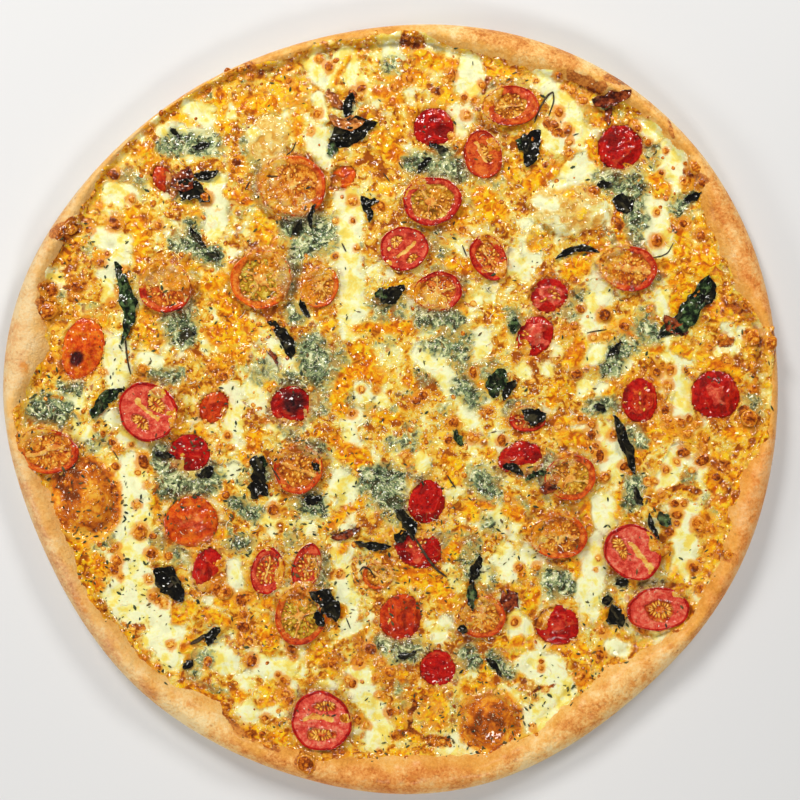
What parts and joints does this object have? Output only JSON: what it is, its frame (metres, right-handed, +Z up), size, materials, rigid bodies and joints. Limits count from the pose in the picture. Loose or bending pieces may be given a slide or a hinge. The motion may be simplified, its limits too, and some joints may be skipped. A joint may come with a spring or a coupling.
{
  "type": "margherita pizza",
  "caption": "Whole round baked pizza: thin dough base with a raised browned rim, melted cheese, cherry tomato halves pressed into it and wilted basil leaves on top.",
  "frame": {"origin": "centre of the bounding box, on the underside that the pizza rests on", "axes": "+Z up out of the toppings; +X and +Y lie in the plane of the pizza, +Y away from someone who stands at -Y"},
  "size_m": [0.355, 0.3528, 0.019],
  "materials": {
    "baked_dough": "dry baked crust, golden with brown spots",
    "melted_cheese": "oily melted cheese with browned blisters",
    "roasted_tomato": "wet roasted tomato",
    "wilted_basil": "dark wilted leaf"
  },
  "bodies": {
    "root": {"crust": "baked_dough", "cheese": "melted_cheese", "tomato_half_01": "roasted_tomato", "tomato_half_02": "roasted_tomato", "tomato_half_03": "roasted_tomato", "tomato_half_04": "roasted_tomato", "tomato_half_05": "roasted_tomato", "tomato_half_06": "roasted_tomato", "tomato_half_07": "roasted_tomato", "tomato_half_08": "roasted_tomato", "tomato_half_09": "roasted_tomato", "tomato_half_10": "roasted_tomato", "tomato_half_11": "roasted_tomato", "tomato_half_12": "roasted_tomato", "tomato_half_13": "roasted_tomato", "tomato_half_14": "roasted_tomato", "tomato_half_15": "roasted_tomato", "tomato_half_16": "roasted_tomato", "tomato_half_17": "roasted_tomato", "tomato_half_18": "roasted_tomato", "tomato_half_19": "roasted_tomato", "tomato_half_20": "roasted_tomato", "tomato_half_21": "roasted_tomato", "tomato_half_22": "roasted_tomato", "tomato_half_23": "roasted_tomato", "tomato_half_24": "roasted_tomato", "tomato_half_25": "roasted_tomato", "tomato_half_26": "roasted_tomato", "tomato_half_27": "roasted_tomato", "tomato_half_28": "roasted_tomato", "tomato_half_29": "roasted_tomato", "tomato_half_30": "roasted_tomato", "tomato_half_31": "roasted_tomato", "tomato_half_32": "roasted_tomato", "tomato_half_33": "roasted_tomato", "tomato_half_34": "roasted_tomato", "tomato_half_35": "roasted_tomato", "tomato_half_36": "roasted_tomato", "tomato_half_37": "roasted_tomato", "tomato_half_38": "roasted_tomato", "tomato_half_39": "roasted_tomato", "tomato_half_40": "roasted_tomato", "tomato_half_41": "roasted_tomato", "tomato_half_42": "roasted_tomato", "tomato_half_43": "roasted_tomato", "tomato_half_44": "roasted_tomato", "tomato_half_45": "roasted_tomato", "basil_leaf_01": "wilted_basil", "basil_leaf_02": "wilted_basil", "basil_leaf_03": "wilted_basil", "basil_leaf_04": "wilted_basil", "basil_leaf_05": "wilted_basil", "basil_leaf_06": "wilted_basil", "basil_leaf_07": "wilted_basil", "basil_leaf_08": "wilted_basil", "basil_leaf_09": "wilted_basil", "basil_leaf_10": "wilted_basil", "basil_leaf_11": "wilted_basil", "basil_leaf_12": "wilted_basil"}
  },
  "joints": []
}
